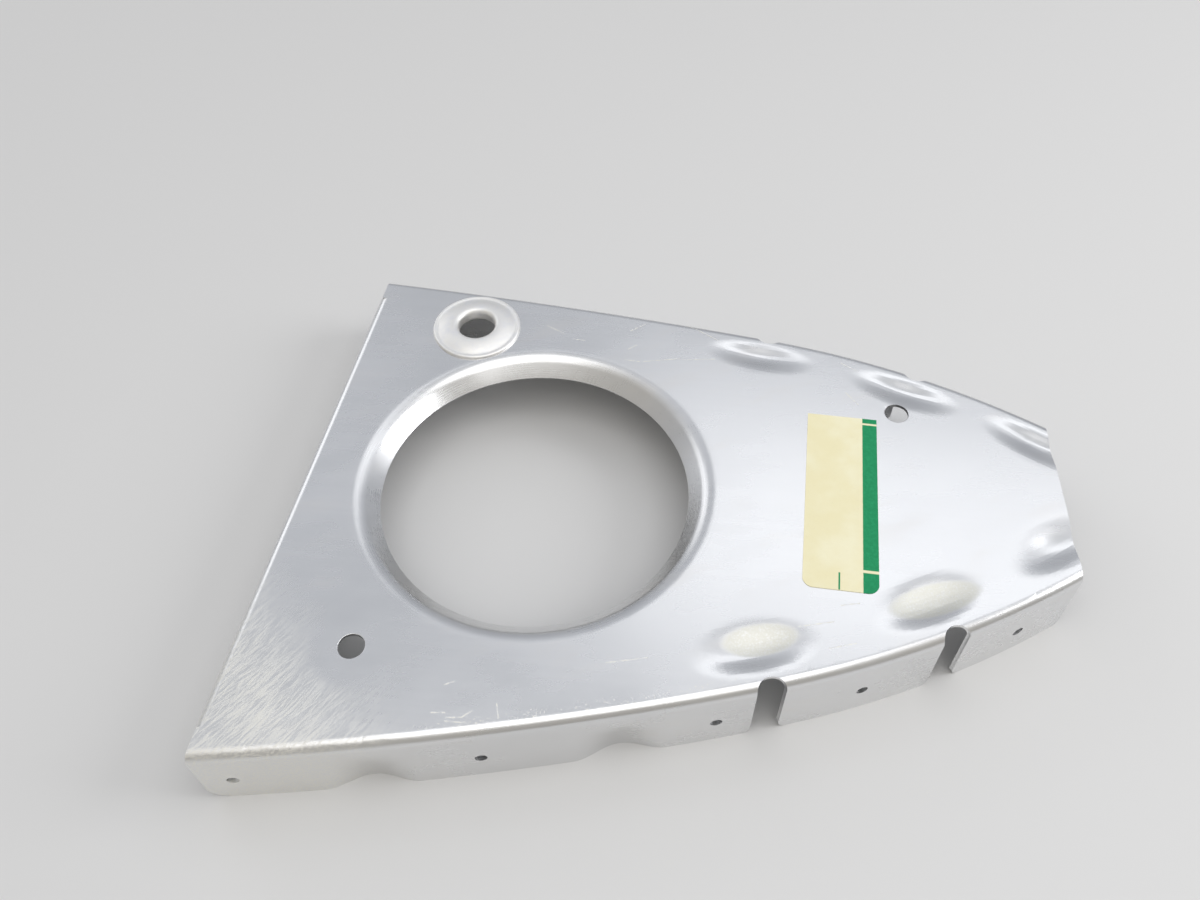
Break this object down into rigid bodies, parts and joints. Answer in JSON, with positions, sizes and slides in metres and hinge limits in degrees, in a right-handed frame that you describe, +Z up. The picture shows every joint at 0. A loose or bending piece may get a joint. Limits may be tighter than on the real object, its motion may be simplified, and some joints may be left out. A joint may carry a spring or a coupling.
{
  "type": "aircraft wing nose rib",
  "caption": "Formed aluminium nose rib of a light aircraft wing, with fluted flanges, a flared lightening hole, a pressed-in eyelet and a blank paper label.",
  "frame": {"origin": "on the ground at the middle of the outline, with the rib lying web up on the free edges of its flanges", "axes": "+X from the spar face towards the nose, +Y towards the far flange, +Z up out of the web's face"},
  "size_m": [0.1715, 0.1342, 0.0206],
  "materials": {
    "sheet": "bright satin, scuffed and scratched",
    "eyelet": "satin",
    "label": "matt paper"
  },
  "bodies": {
    "root": {"rib_sheet": "sheet", "eyelet": "eyelet", "paper_label": "label"}
  },
  "joints": []
}
